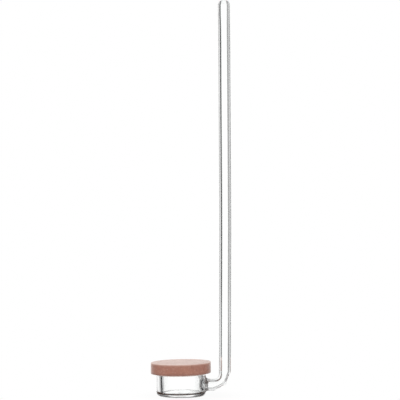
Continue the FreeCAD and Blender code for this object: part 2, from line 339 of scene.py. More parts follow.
def ceramic_material():
    material, tree = new_material("porous_ceramic")
    place = add_node(tree, "TexCoord").outputs["Object"]

    def noise_texture(scale, detail, roughness):
        inputs = {"Vector": place, "Scale": scale, "Detail": detail, "Roughness": roughness}
        return add_node(tree, "TexNoise", inputs).outputs["Fac"]

    def mix_colours(kind, factor, first, second):
        # sockets 0, 6 and 7 are the factor and the two colours
        node = add_node(tree, "Mix", data_type="RGBA", blend_type=kind)
        node.inputs[0].default_value = 1.0
        for key, value in ((0, factor), (6, first), (7, second)):
            if isinstance(value, bpy.types.NodeSocket):
                tree.links.new(value, node.inputs[key])
            else:
                node.inputs[key].default_value = value
        return node.outputs[2]

    def tint(base, mask, strength, colour):
        """Mix this colour in where the mask is bright."""
        factor = add_math(tree, "MULTIPLY", mask, strength)
        return mix_colours("MIX", factor, base, (*colour, 1))

    # slow drift of firing colour, then the grain of the grog, then pale and dark specks
    firing = add_ramp(
        tree,
        noise_texture(scale=95, detail=2.0, roughness=0.5),
        [(0.3, (0.312, 0.116, 0.076)), (0.7, (0.355, 0.146, 0.094))],
    )
    grain = add_ramp(
        tree,
        noise_texture(scale=2600, detail=4.0, roughness=0.65),
        [(0.25, (0.80, 0.78, 0.77)), (0.75, (1.14, 1.15, 1.15))],
    )
    colour = mix_colours("MULTIPLY", 1.0, firing, grain)
    cells = add_node(tree, "TexVoronoi", {"Vector": place, "Scale": 2300}, feature="F1")
    tone = add_node(tree, "SeparateColor", {"Color": cells.outputs["Color"]})
    black, white = (0, 0, 0), (1, 1, 1)
    pale = add_ramp(tree, tone.outputs["Red"], [(0.86, black), (0.9, white)])
    dark = add_ramp(tree, tone.outputs["Green"], [(0.88, black), (0.92, white)])
    colour = tint(colour, pale, strength=0.22, colour=(0.62, 0.40, 0.33))
    colour = tint(colour, dark, strength=0.35, colour=(0.20, 0.085, 0.06))
    for name, strength, mark_colour in CERAMIC_MARKS:
        mark = add_node(tree, "Attribute", attribute_name=name)
        colour = tint(colour, mark.outputs["Fac"], strength, mark_colour)

    roughness = add_node(
        tree,
        "MapRange",
        {
            "Value": noise_texture(scale=900, detail=3.0, roughness=0.6),
            "To Min": 0.45,
            "To Max": 0.62,
        },
    )
    height = add_math(
        tree,
        "ADD",
        noise_texture(scale=5200, detail=3.0, roughness=0.7),
        noise_texture(scale=1900, detail=2.0, roughness=0.6),
    )
    bump = add_node(tree, "Bump", {"Strength": 0.55, "Distance": 0.00006, "Height": height})
    inputs = {
        "Base Color": colour,
        "Roughness": roughness.outputs["Result"],
        "IOR": 1.5,
        "Specular IOR Level": 0.5,
        "Sheen Weight": 0.6,
        "Sheen Roughness": 0.38,
        "Sheen Tint": (1.0, 0.95, 0.92, 1),
        "Coat Weight": 0.3,
        "Coat Roughness": 0.32,
        "Normal": bump.outputs["Normal"],
    }
    set_surface(tree, add_node(tree, "BsdfPrincipled", inputs).outputs["BSDF"])
    return material


GLASS = glass_material("clear_glass", roughness=0.0)
FUSED = fused_material()
BOND = bond_material()
CERAMIC = ceramic_material()
# the weld and the port keep a faint flame haze
SEAL = glass_material("flame_worked_glass", roughness=0.38)

# material slots: every piece with a fused face has it second, and the cup's port is third
OPEN_FACE, FUSED_FACE, PORT_FACE = 0, 1, 2

# ------------------------------------------------------------------ mesh building


def make_piece(
    name, verts, faces, slots, materials, node, sharp_deg=35.0, attributes=None
):
    """A closed piece from vertices in millimetres, facing outwards, riding on the rigid body."""
    mesh = bpy.data.meshes.new(name)
    corners = [tuple(v) for v in np.asarray(verts) * MM]
    mesh.from_pydata(corners, [], [tuple(int(i) for i in face) for face in faces])
    for material in materials:
        mesh.materials.append(material)
    mesh.polygons.foreach_set("material_index", np.asarray(slots, np.int32))
    for key, values in (attributes or {}).items():
        layer = mesh.attributes.new(key, "FLOAT", "POINT")
        layer.data.foreach_set("value", np.asarray(values, np.float32))
    work = bmesh.new()
    work.from_mesh(mesh)
    loose = [v for v in work.verts if not v.link_faces]
    bmesh.ops.delete(work, geom=loose, context="VERTS")
    bmesh.ops.recalc_face_normals(work, faces=work.faces[:])
    if work.calc_volume(signed=True) < 0:
        bmesh.ops.reverse_faces(work, faces=work.faces[:])
    if any(len(e.link_faces) != 2 for e in work.edges):
        raise RuntimeError(name + " isn't closed")
    work.to_mesh(mesh)
    work.free()
    mesh.shade_smooth()
    mesh.set_sharp_from_angle(angle=math.radians(sharp_deg))
    mesh.update()
    piece = bpy.data.objects.new(name, mesh)
    bpy.context.scene.collection.objects.link(piece)
    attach(piece, "root")
    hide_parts(node)


def band_faces(here, there):
    """Quads between two closed loops of vertex numbers."""
    count = len(here)
    return [(here[j], here[(j + 1) % count], there[(j + 1) % count], there[j]) for j in range(count)]


def ring_grid(rings, strip_slots):
    """Vertices, faces and slots of closed rings, themselves joined in a closed loop."""
    count, sides = len(rings), len(rings[0])
    faces, slots = [], []
    for k in range(count):
        here, there = k * sides, ((k + 1) % count) * sides
        faces += band_faces(range(here, here + sides), range(there, there + sides))
        slots += [strip_slots[k]] * sides
    return np.vstack(rings), faces, slots


# ------------------------------------------------------------------ shared shapes of the join

SIDES = 120  # round the tube
PHI = np.arange(SIDES) * TAU / SIDES  # round the leg's axis, from +Z towards +Y


class Wall:
    """One side of the cup: a round wall that turns into a flat floor through a rounded corner."""

    def __init__(self, radius, corner, floor):
        self.radius, self.corner, self.floor = radius, corner, floor

    def around_leg(self, distance, phi):
        """The points of the wall at a distance from the leg's axis."""
        y, z = distance * np.sin(phi), LEG_Z + distance * np.cos(phi)
        into = np.clip(self.floor + self.corner - z, 0, self.corner)
        radius = self.radius - self.corner + np.sqrt(np.maximum(self.corner**2 - into**2, 0))
        return np.stack([np.sqrt(np.maximum(radius**2 - y**2, 0)), y, z], -1)

    def unroll(self, points):
        """Arc length round the cup, and arc length up its profile."""
        corner, z = self.corner, points[:, 2] - self.floor
        turn = np.arccos(np.clip((corner - z) / corner, -1, 1))
        up = np.where(z < corner, corner * turn, corner * math.pi / 2 + z - corner)
        return np.stack([self.radius * np.arctan2(points[:, 1], points[:, 0]), up], -1)

    def roll(self, chart):
        """Back from the two arc lengths to points."""
        corner, up = self.corner, chart[:, 1]
        turn = up / corner
        low = turn < math.pi / 2
        turn = np.minimum(turn, math.pi / 2)
        radius = np.where(low, self.radius - corner + corner * np.sin(turn), self.radius)
        z = self.floor + np.where(
            low, corner - corner * np.cos(turn), corner + up - corner * math.pi / 2
        )
        angle = chart[:, 0] / self.radius
        return np.stack([radius * np.cos(angle), radius * np.sin(angle), z], -1)


OUTSIDE = Wall(CUP_R, CORNER, 0.0)
INSIDE = Wall(CUP_RI, FILLET, FLOOR)


def weld_edge(phi):
    """Distance from the leg's axis at which the weld runs out on the cup: tall above, thin below."""
    up = np.cos(phi)
    rise = np.where(
        up > 0,
        WELD_BESIDE + (WELD_ABOVE - WELD_BESIDE) * up,
        WELD_BESIDE + (WELD_BELOW - WELD_BESIDE) * -up,
    )
    wander = 0.13 * np.sin(3 * phi + 0.7) + 0.08 * np.sin(5 * phi + 2.1) + 0.05 * np.sin(8 * phi)
    return TUBE_R + rise + wander * np.clip(1 - np.abs(up) ** 3, 0, 1)


def weld_reach(phi):
    """How far along the leg the weld runs, from the cup's wall."""
    wander = 0.12 * np.sin(2 * phi + 0.4), 0.08 * np.sin(5 * phi + 1.0)
    return WELD_ALONG * (0.8 + 0.2 * np.cos(phi)) + wander[0] + wander[1]


def leg_ring(x):
    ring = np.stack([np.zeros(SIDES), TUBE_R * np.sin(PHI), LEG_Z + TUBE_R * np.cos(PHI)], -1)
    ring[:, 0] = x
    return ring


SADDLE = OUTSIDE.around_leg(np.full(SIDES, TUBE_R), PHI)  # the leg's outside meets the cup
REACH_X = SADDLE[:, 0] + weld_reach(PHI)
# the leg's rings under the weld, from the cup's wall to the weld's far edge
LEG_RINGS = [
    leg_ring(SADDLE[:, 0] + part * (REACH_X - SADDLE[:, 0])) for part in (0.0, 0.25, 0.5, 0.75, 1.0)
]

# ------------------------------------------------------------------ stem: leg, elbow, riser, lip

BEND_TOP = LEG_Z + BEND
TOWARD = np.maximum(np.cos(PHI), 0) ** 2  # the side facing the bend's centre
AWAY = np.maximum(-np.cos(PHI), 0) ** 2
BESIDE = np.sin(PHI) ** 2


def stem_stations():
    """Stations of the centre line beyond the weld's reach: (part, position along it).

    The position is a share of the leg, an angle round the bend or a height on the riser.
    """
    heights = [BEND_TOP + step for step in (0.5, 1.1, 1.9, 2.9)]
    heights += list(np.linspace(BEND_TOP + 4.2, TOP - LIP, 118))
    stations = [("leg", share) for share in np.linspace(0, 1, 7)[1:]]
    stations += [("bend", math.radians(angle)) for angle in np.linspace(0, 90, 41)[1:]]
    return stations + [("riser", z) for z in heights]


def degrees_round(part, position):
    """Degrees round the elbow, from 0 at the leg to 90 at the riser, running on past both ends."""
    if part == "leg":
        return math.degrees(-(1 - position) * (LEG_END - LEG_START) / BEND)
    if part == "bend":
        return math.degrees(position)
    return 90 + math.degrees((position - BEND_TOP) / BEND)


def hump(angle, middle, width):
    return math.exp(-(((angle - middle) / width) ** 2))


def flats(angle):
    """The outside of the bend sinks in two flats with a blunt corner between them."""
    sunk = float(smooth(-4, 22, angle) * (1 - smooth(76, 98, angle)))
    return sunk * (1 - RIDGE * hump(angle, 50, 9))


def tube_ring(part, position, leg_start, radius):
    """A ring round the centre line, of this radius at each angle."""
    inward, y = np.cos(PHI) * radius, np.sin(PHI) * radius
    if part == "leg":
        return np.stack([leg_start + position * (LEG_END - leg_start), y, LEG_Z + inward], -1)
    if part == "bend":
        sine, cosine = math.sin(position), math.cos(position)
        mid_x, mid_z = LEG_END + sine * BEND, BEND_TOP - cosine * BEND
        return np.stack([mid_x - sine * inward, y, mid_z + cosine * inward], -1)
    return np.stack([STEM_X - inward, y, np.full(SIDES, position)], -1)


# the bend's outside sinks in and takes the bore's outer side with it, and glass gathers on its
# inside, where the bore is crowded outwards


def outer_radius(angle):
    sunk = flats(angle)
    inner_side = SINK_IN * hump(angle, 50, 30) * TOWARD
    return TUBE_R - SINK_OUT * sunk * AWAY - inner_side + 0.1 * sunk * BESIDE


def bore_radius(part, position, angle):
    radius = BORE
    if part == "leg":  # the bore opens out from the port
        radius = PORT + (BORE - PORT) * float(smooth(-0.2, 0.3, position))
    sunk = flats(angle)
    inner_side = PINCH_IN * hump(angle, 52, 28) * TOWARD
    radius = radius - PINCH_OUT * sunk * AWAY - inner_side + 0.06 * sunk * BESIDE
    if part == "riser":
        # drawn tube keeps a very slow wander in its bore, and the heated end opens it slightly
        path = np.stack(
            [np.cos(PHI) * 0.6, np.sin(PHI) * 0.6, np.full(SIDES, position / 22.0)], 1
        )
        fade = 1 - float(smooth(TOP - 9, TOP - 3, position))
        radius = radius + 0.02 * fade * noise(path, 1.0, seed=31)
        radius = radius + BORE_FLARE * float(smooth(TOP - 14, TOP - 6, position))
    return radius


def lip_rings():
    """The fire-polished end: tangent arcs run into a small round crest."""
    low = TOP - LIP
    drop = LIP - CREST_R
    bore = BORE + BORE_FLARE
    out_r = (drop**2 + (TUBE_R - CREST_MID) ** 2 - CREST_R**2) / (
        2 * (TUBE_R - CREST_MID - CREST_R)
    )
    in_r = (drop**2 + (bore - CREST_MID) ** 2 - CREST_R**2) / (2 * (bore - CREST_MID + CREST_R))
    out_turn = math.atan2(drop, CREST_MID - TUBE_R + out_r)
    in_turn = math.atan2(drop, CREST_MID - bore + in_r)
    # (mid radius, mid height, arc radius, angles) of the outer arc, the crest and the inner arc
    arcs = [
        (TUBE_R - out_r, low, out_r, np.linspace(0, out_turn, 12)[1:]),
        (CREST_MID, low + drop, CREST_R, np.linspace(out_turn, math.pi + in_turn, 14)[1:]),
        (bore - in_r, low, in_r, np.linspace(in_turn, 0, 10)[1:-1]),
    ]
    rings = []
    for mid_r, mid_z, arc_r, turns in arcs:
        for turn in turns:
            radius, z = mid_r + arc_r * math.cos(turn), mid_z + arc_r * math.sin(turn)
            ring = np.stack(
                [STEM_X - radius * np.cos(PHI), radius * np.sin(PHI), np.full(SIDES, z)], -1
            )
            # the crest is never quite level
            ring[:, 2] -= smooth(low, TOP, ring[:, 2]) * (0.05 + 0.05 * np.sin(PHI + 0.8))
            rings.append(ring)
    return rings


def stem_rings():
    """Outer rings from the weld to the crest, then inner rings back, then the fused end."""
    outer, inner = list(LEG_RINGS), []
    for part, position in stem_stations():
        angle = degrees_round(part, position)
        outer.append(tube_ring(part, position, REACH_X, outer_radius(angle)))
        bore = bore_radius(part, position, angle)
        inner.append(tube_ring(part, position, SADDLE[:, 0] + 0.6, bore))
    # the bore's mouth in the fused end, then the end itself on the cup's wall
    bore_end = OUTSIDE.around_leg(np.full(SIDES, PORT), PHI)
    mouth = [bore_end + np.array([0.3, 0, 0]), bore_end]
    cap = [
        OUTSIDE.around_leg(np.full(SIDES, PORT + (TUBE_R - PORT) * part), PHI)
        for part in (0.25, 0.5, 0.75)
    ]
    rings = outer + lip_rings() + inner[::-1] + mouth + cap
    under_weld, on_wall = len(LEG_RINGS) - 1, len(cap) + 1
    slots = [FUSED_FACE] * under_weld
    slots += [OPEN_FACE] * (len(rings) - under_weld - on_wall)
    slots += [FUSED_FACE] * on_wall
    return rings, slots


verts, faces, slots = ring_grid(*stem_rings())
verts = verts + glass_drift(verts)
make_piece(
    "stem_tube_glass", verts, faces, slots, [GLASS, FUSED], "stem_tube"
)

# ------------------------------------------------------------------ weld fillet


def weld_rings():
    """The open hollow from the cup to the leg, then the fused faces back along leg and cup."""
    edge = weld_edge(PHI)
    start, end = OUTSIDE.around_leg(edge, PHI), leg_ring(REACH_X)
    # the wall's tangent at the weld's edge, towards the leg, within each half plane
    tangent = OUTSIDE.around_leg(edge - 0.05, PHI) - start
    tangent /= np.linalg.norm(tangent, axis=1)[:, None]
    along = np.zeros_like(start)
    along[:, 0] = 1
    start_pull = 0.72 * np.linalg.norm(SADDLE - start, axis=1)[:, None]
    end_pull = 0.74 * (REACH_X - SADDLE[:, 0])[:, None]
    start_handle, end_handle = start + tangent * start_pull, end - along * end_pull
    count = 14
    rings = []
    for t in np.linspace(0, 1, count + 1):
        rings.append(
            (1 - t) ** 3 * start
            + 3 * (1 - t) ** 2 * t * start_handle
            + 3 * (1 - t) * t * t * end_handle
            + t**3 * end
        )
    rings += LEG_RINGS[-2::-1]
    for part in (0.25, 0.5, 0.75):
        rings.append(OUTSIDE.around_leg(TUBE_R + (edge - TUBE_R) * part, PHI))
    return rings, [OPEN_FACE] * count + [FUSED_FACE] * (len(rings) - count)


verts, faces, slots = ring_grid(*weld_rings())
verts = verts + glass_drift(verts)
make_piece("stem_weld_glass", verts, faces, slots, [SEAL, FUSED], "stem_weld")

# ------------------------------------------------------------------ cup

STEPS = 240  # round the cup's axis
THETA = np.arange(STEPS) * TAU / STEPS - math.pi
MID = STEPS // 2  # the step at +X
HALF = 20  # the patches round the port reach this many cells each side of +X


def arc(mid_r, mid_z, radius, start_deg, end_deg, count):
    angles = [math.radians(angle) for angle in np.linspace(start_deg, end_deg, count + 1)]
    return [(mid_r + radius * math.cos(a), mid_z + radius * math.sin(a)) for a in angles]


def cup_profile():
    """(radius, height) from the base's middle, up the outside, over the rim and down the inside.

    Also the rows that bound the port's patches: the outer one's low and high row, then the inner
    one's high and low row.
    """
    out_z, in_z = CUP_H - BEAD_OUT, CUP_H - BEAD_IN
    points = [(radius, 0.0) for radius in (1.2, 2.5, 4.0, 5.5, 7.0, 8.4, 9.5)]
    out_low = len(points) + 5  # 37.5 degrees up the corner
    points += arc(CUP_R - CORNER, CORNER, CORNER, -90, 0, 12)
    points += [(CUP_R, z) for z in np.linspace(CORNER, out_z, 21)[1:]]
    out_high = len(points) - 1
    points += [(CUP_R, z) for z in np.linspace(out_z, CUP_H - BREAK, 3)[1:-1]]
    points += arc(CUP_R - BREAK, CUP_H - BREAK, BREAK, 0, 90, 4)
    points += [(radius, CUP_H) for radius in np.linspace(CUP_R - BREAK, CUP_RI + BREAK, 7)[1:-1]]
    points += arc(CUP_RI + BREAK, CUP_H - BREAK, BREAK, 90, 180, 4)
    in_high = len(points)
    points += [(CUP_RI, z) for z in np.linspace(in_z, FLOOR + FILLET, 22)]
    points += arc(CUP_RI - FILLET, FLOOR + FILLET, FILLET, 360, 270, 8)[1:]
    in_low = len(points) - 3  # 22.5 degrees up the inside fillet
    points += [(radius, FLOOR) for radius in (7.4, 6.4, 5.3, 4.2, 3.2, 2.3, 1.5, 0.8)]
    return np.array(points), out_low, out_high, in_high, in_low


PROFILE, OUT_LOW, OUT_HIGH, IN_HIGH, IN_LOW = cup_profile()


def round_ring(radius, z):
    """A ring round the cup's axis; the radius and height may vary with THETA."""
    return np.stack([radius * np.cos(THETA), radius * np.sin(THETA), np.full(STEPS, z)], -1)


def vert_at(row, step):
    return row * STEPS + step % STEPS


def patch_edge(low, high):
    """Vertex numbers round a patch's rectangle, from the middle of its top, towards +Y."""
    turn = 1 if low > high else -1
    rows = list(range(high, low + turn, turn))
    loop = [(high, MID + k) for k in range(0, HALF)]
    loop += [(row, MID + HALF) for row in rows[:-1]]
    loop += [(low, MID + k) for k in range(HALF, -HALF, -1)]
    loop += [(row, MID - HALF) for row in rows[::-1][:-1]]
    loop += [(high, MID - k) for k in range(HALF, 0, -1)]
    return [vert_at(row, step) for row, step in loop]


def port_rings(far_out, far_in):
    """Rings from the outer patch's edge through the port to the inner one's, each with the slot
    of the band leading to it.  The two edges are given unrolled."""
    middle = OUTSIDE.unroll(np.array([[CUP_R, 0, LEG_Z]]))[0]
    offset = far_out - middle
    phi = np.arctan2(offset[:, 0], offset[:, 1])
    edge = weld_edge(phi)
    near_out = OUTSIDE.unroll(OUTSIDE.around_leg(edge, phi))
    rings = []
    for part in (0.85, 0.68, 0.5, 0.33, 0.18, 0.07, 0.0):
        rings.append((OUTSIDE.roll(near_out + (far_out - near_out) * part), OPEN_FACE))
    # under the weld, then under the tube's end
    for small, large in ((TUBE_R, edge), (PORT, TUBE_R)):
        for part in (0.75, 0.5, 0.25, 0.0):
            ring = OUTSIDE.around_leg(small + (large - small) * part, phi)
            rings.append((ring, FUSED_FACE))
    # through the wall, and round the port's soft inner edge
    mouth = rings[-1][0]
    port_in = INSIDE.around_leg(np.full(len(phi), PORT), phi)
    for part in (0.2, 0.4, 0.6, 0.8, 1.0):
        ring = mouth.copy()
        ring[:, 0] = mouth[:, 0] + (port_in[:, 0] + PORT_SOFT - mouth[:, 0]) * part
        rings.append((ring, PORT_FACE))
    for angle in (22.5, 45, 67.5, 90):
        distance = PORT + PORT_SOFT * (1 - math.cos(math.radians(angle)))
        ring = INSIDE.around_leg(np.full(len(phi), distance), phi)
        ring[:, 0] += PORT_SOFT * (1 - math.sin(math.radians(angle)))
        rings.append((ring, PORT_FACE))
    near_in = INSIDE.unroll(INSIDE.around_leg(np.full(len(phi), PORT + PORT_SOFT), phi))
    for part in (0.08, 0.18, 0.3, 0.44, 0.6, 0.78):
        slot = PORT_FACE if part < 0.2 else OPEN_FACE
        rings.append((INSIDE.roll(near_in + (far_in - near_in) * part), slot))
    return rings


def cup_mesh():
    """The turned cup, with a patch cut from each side and the port's rings between them."""
    verts = list(np.vstack([round_ring(radius, z) for radius, z in PROFILE]))
    last = len(PROFILE) - 1
    faces, slots = [], []
    for row in range(last):
        slot = FUSED_FACE if OUT_HIGH <= row < IN_HIGH else OPEN_FACE
        patch_row = OUT_LOW <= row < OUT_HIGH or IN_HIGH <= row < IN_LOW
        for i in range(STEPS):
            if patch_row and MID - HALF <= i < MID + HALF:
                continue
            here, there = vert_at(row, i), vert_at(row, i + 1)
            faces.append((here, there, there + STEPS, here + STEPS))
            slots.append(slot)
    base_mid, floor_mid = len(verts), len(verts) + 1
    verts += [np.array([0, 0, 0.0]), np.array([0, 0, FLOOR])]
    for i in range(STEPS):
        faces.append((base_mid, vert_at(0, i + 1), vert_at(0, i)))
        faces.append((floor_mid, vert_at(last, i), vert_at(last, i + 1)))
        slots += [OPEN_FACE, OPEN_FACE]

    previous, edge_in = patch_edge(OUT_LOW, OUT_HIGH), patch_edge(IN_LOW, IN_HIGH)
    far_out = OUTSIDE.unroll(np.array([verts[k] for k in previous]))
    far_in = INSIDE.unroll(np.array([verts[k] for k in edge_in]))
    for points, slot in port_rings(far_out, far_in):
        here = list(range(len(verts), len(verts) + len(points)))
        verts.extend(points)
        faces += band_faces(previous, here)
        slots += [slot] * len(points)
        previous = here
    faces += band_faces(previous, edge_in)
    slots += [OPEN_FACE] * len(edge_in)
    return np.array(verts), faces, slots


def work_inside(verts):
    """The cup's inside was never ground: its wall and floor keep the waves of the lamp work."""
    radius = np.hypot(verts[:, 0], verts[:, 1])
    safe_radius = np.maximum(radius, 0.01)
    inside = (radius < CUP_RI + 0.01) & (verts[:, 2] > FLOOR - 0.01)
    outward = np.where(
        radius[:, None] > 0.01, verts * np.array([1, 1, 0]) / safe_radius[:, None], 0
    )
    from_port = np.hypot(verts[:, 1], verts[:, 2] - LEG_Z)
    quiet = smooth(2.2, 5.0, np.where(verts[:, 0] > 0, from_port, 99))
    on_wall = inside * smooth(7.0, 9.3, radius)
    below_rim = 1 - smooth(8.8, 10.4, verts[:, 2])
    wall_keep = on_wall * below_rim * quiet
    floor_keep = inside * (1 - smooth(7.6, 9.0, radius)) * (verts[:, 2] < FLOOR + 0.6)
    # the wall is thicker towards the floor
    down = on_wall * quiet * np.clip((10.4 - verts[:, 2]) / 8.4, 0, 1)
    verts = verts - outward * (0.08 * down)[:, None]
    # and its inside stands a little towards the port, so that side's wall is thinner
    below_rim = 1 - smooth(8.8, 10.4, verts[:, 2])
    shift = on_wall * below_rim * np.clip(verts[:, 0] / safe_radius, 0, 1)
    verts = verts + outward * (0.3 * shift)[:, None]
    wave = noise(verts, 5.5, seed=41) + 0.4 * noise(verts, 2.6, seed=42)
    verts = verts + outward * (0.055 * wall_keep * wave)[:, None]
    # the floor rises in the middle
    dome = 0.22 * np.exp(-((radius / 3.4) ** 2))
    verts[:, 2] += floor_keep * (dome + 0.05 * noise(verts, 4.5, seed=43))
    return verts


verts, faces, slots = cup_mesh()
verts = work_inside(verts)
verts = verts + glass_drift(verts)
make_piece("gas_cup_glass", verts, faces, slots, [GLASS, FUSED, SEAL], "gas_cup")

# ------------------------------------------------------------------ bond


def bond_rings():
    """Clear adhesive between rim and disc, squeezed out as two small uneven beads."""
    top = bond_high[2]
    wander = (
        0.16 * np.sin(2 * THETA + 0.9)
        + 0.13 * np.sin(5 * THETA + 2.0)
        + 0.09 * np.sin(9 * THETA + 0.3)
        + 0.06 * np.sin(16 * THETA + 1.1)
    )
    blob = 0.45 * np.exp(-(((THETA + 0.95 + math.pi) % TAU - math.pi) / 0.16) ** 2)
    out_r = BEAD_R - 0.22 + 0.6 * wander + blob
    in_r = CUP_RI - 0.42 + 0.1 * np.sin(3 * THETA + 1.0) + 0.08 * np.sin(7 * THETA)
    in_z, out_z = CUP_H - BEAD_IN, CUP_H - BEAD_OUT
    rings, slots = [], []

    def add(radius, z, slot):
        rings.append(round_ring(radius, z))
        slots.append(slot)

    # inner bead: a quarter-hollow from the cup's inside up to the disc
    for t in np.linspace(0, 1, 6)[:-1]:
        turn = t * math.pi / 2
        radius = CUP_RI - (CUP_RI - in_r) * (1 - math.cos(turn))
        add(radius, in_z + (top - in_z) * math.sin(turn), OPEN_FACE)
    # the face against the disc
    for t in np.linspace(0, 1, 15)[:-1]:
        add(in_r + (out_r - in_r) * t, top, FUSED_FACE)
    # outer bead, down to the cup's outside
    for t in np.linspace(0, 1, 9)[:-1]:
        turn = (1 - t) * math.pi / 2
        radius = CUP_R + (out_r - CUP_R) * (1 - math.cos(turn))
        add(radius, out_z + (top - out_z) * math.sin(turn), OPEN_FACE)
    # back over the cup's rim
    for row in range(OUT_HIGH, IN_HIGH):
        add(*PROFILE[row], FUSED_FACE)
    return rings, slots


verts, faces, slots = ring_grid(*bond_rings())
verts = verts + lean(verts)
make_piece(
    "disc_bond_bead", verts, faces, slots, [BOND, FUSED], "disc_bond", sharp_deg=50
)

# ------------------------------------------------------------------ ceramic disc

EDGE = 0.11  # rounding of the disc's two edges
SIDE_OUT = 0.20  # how far the side stands out before it wears
SEAT = DISC_LOW + 0.002  # the under face, just clear of the adhesive
FLAT_R = DISC_R - EDGE
CELLS = 172  # across each flat face
SIDE_ROWS, EDGE_ROWS = 30, 4


def disc_shape():
    """Two faces of evenly spread squares, joined by rings down the side."""
    steps = np.linspace(-1, 1, CELLS + 1)
    across, along = np.meshgrid(steps, steps, indexing="ij")
    x, y = across * np.sqrt(1 - along**2 / 2), along * np.sqrt(1 - across**2 / 2)
    grid = np.stack([x * FLAT_R, y * FLAT_R], -1).reshape(-1, 2)
    base = len(grid)

    def grid_at(i, j):
        return i * (CELLS + 1) + j

    verts = [np.column_stack([grid, np.full(base, z)]) for z in (DISC_HIGH, SEAT)]
    faces = []
    for i in range(CELLS):
        for j in range(CELLS):
            quad = (grid_at(i, j), grid_at(i + 1, j), grid_at(i + 1, j + 1), grid_at(i, j + 1))
            faces.append(quad)
            faces.append(tuple(base + k for k in quad[::-1]))
    rim = [grid_at(i, 0) for i in range(CELLS)]
    rim += [grid_at(CELLS, j) for j in range(CELLS)]
    rim += [grid_at(i, CELLS) for i in range(CELLS, 0, -1)]
    rim += [grid_at(0, j) for j in range(CELLS, 0, -1)]
    angle = np.arctan2(grid[rim, 1], grid[rim, 0])

    high, low = DISC_HIGH - EDGE, SEAT + EDGE
    turns = np.linspace(0, math.pi / 2, EDGE_ROWS + 1)
    profile = [(FLAT_R + EDGE * math.sin(t), high + EDGE * math.cos(t)) for t in turns[1:]]
    profile += [(DISC_R, z) for z in np.linspace(high, low, SIDE_ROWS + 1)[1:]]
    profile += [(FLAT_R + EDGE * math.cos(t), low - EDGE * math.sin(t)) for t in turns[1:-1]]

    def join(above, below):
        for k in range(len(rim)):
            after = (k + 1) % len(rim)
            faces.append((above[k], below[k], below[after], above[after]))

    previous, count = rim, 2 * base
    for radius, z in profile:
        ring = [radius * np.cos(angle), radius * np.sin(angle), np.full(len(rim), z)]
        verts.append(np.column_stack(ring))
        here = list(range(count, count + len(rim)))
        count += len(rim)
        join(previous, here)
        previous = here
    join(previous, [base + k for k in rim])
    return np.vstack(verts), faces


def wear_disc(verts):
    """The disc's vertices with grain, pits and wear, and the marks that colour them: wear, painted
    shade and painted light.
    """
    middle, half = (SEAT + DISC_HIGH) / 2, (DISC_HIGH - SEAT) / 2
    # outward direction: on the edges it turns from flat to side
    radius = np.hypot(verts[:, 0], verts[:, 1])
    off_middle = np.abs(verts[:, 2] - middle)
    outward = verts * np.array([1, 1, 0]) / np.maximum(radius, 1e-6)[:, None]
    side = np.clip((radius - FLAT_R) / EDGE, 0, 1)
    up = np.where(verts[:, 2] > middle, 1.0, -1.0)
    flat = np.clip((off_middle - (half - EDGE)) / EDGE, 0, 1)
    normal = outward * side[:, None] + np.array([0, 0, 1.0]) * (up * flat)[:, None]
    normal /= np.linalg.norm(normal, axis=1)[:, None]

    # the two sharp edges are rubbed back unevenly, with a few chips
    at_edge = np.exp(-(((radius - DISC_R) / 0.55) ** 2))
    at_edge = at_edge * np.exp(-(((off_middle - half) / 0.5) ** 2))
    rub = at_edge * (0.02 + 0.04 * layered_noise(verts, 3.0, seed=51, octaves=3))
    chips = pits(verts, 3.1, seed=57, chance=0.26, r_min=0.30, r_max=0.65) * at_edge * 0.22
    grain = 0.030 * layered_noise(verts, 0.9, seed=61, octaves=3, gain=0.6)
    grain = grain + 0.020 * layered_noise(verts, 5.5, seed=65, octaves=2)
    hole = pits(verts, 1.25, seed=71, chance=0.62, r_min=0.22, r_max=0.42)
    fine = pits(verts, 0.8, seed=81, chance=0.5, r_min=0.17, r_max=0.26)
    depth = 0.13 * hole + 0.06 * fine
    move = grain - depth - rub - chips
    # the seat under the disc stays flat, so it never reaches the adhesive
    move = np.where(verts[:, 2] < SEAT + 0.001, np.minimum(move + 0.03, 0.0), move)
    # nothing stands proud of the faces or the side by more than 0.01
    verts = verts + normal * (np.minimum(move, 0.01) + SIDE_OUT * side)[:, None]
    verts[:, 2] = np.maximum(verts[:, 2], SEAT)

    z = verts[:, 2]
    pit = np.clip(0.9 * hole**0.5 + 0.6 * fine**0.5, 0, 1)
    # paler rubbed edges: wear, plus a painted highlight that is kept on the top edge and is faint on
    # the lower edge
    worn = np.clip(at_edge * (0.8 + 0.5 * layered_noise(verts, 1.6, seed=91, octaves=3)), 0, 1)
    worn = worn * (1 - pit) * np.where(up > 0, 1.0, 0.15)
    # painted shade on the under face over the cup's mouth, where it is seen through the glass
    under = (1 - smooth(12.2, 13.3, radius)) * (z < SEAT + 0.2)
    # the height that the painted shade on the side's lower edge reaches
    level = verts * np.array([1, 1, 0])
    shade_height = SEAT + 1.15 + 0.25 * layered_noise(level, 4.0, seed=95, octaves=2)
    damp = (radius > 12.8) * (1 - smooth(-0.8, 0.1, z - shade_height))
    # painted light from above and glare on the top face
    dusty = smooth(DISC_HIGH - 0.16, DISC_HIGH - 0.06, z + 0.12 * pit)
    dusty = dusty * (0.85 + 0.3 * layered_noise(verts, 6.0, seed=97, octaves=3))
    marks = {"pit": pit, "worn": worn, "under": under, "damp": damp}
    marks["dusty"] = np.clip(dusty, 0, 1)
    return verts, marks


verts, faces = disc_shape()
verts, marks = wear_disc(verts)
verts = verts + lean(verts)
make_piece(
    "diffuser_disc_ceramic", verts, faces, [0] * len(faces), [CERAMIC],
    "diffuser_disc", sharp_deg=180, attributes=marks,
)

# ------------------------------------------------------------------ studio world

# Brightness of the room that the glass bends and mirrors: (degrees, brightness).
# Across, 0 is straight ahead of the camera and + is right; in height, 0 is level and + is up.

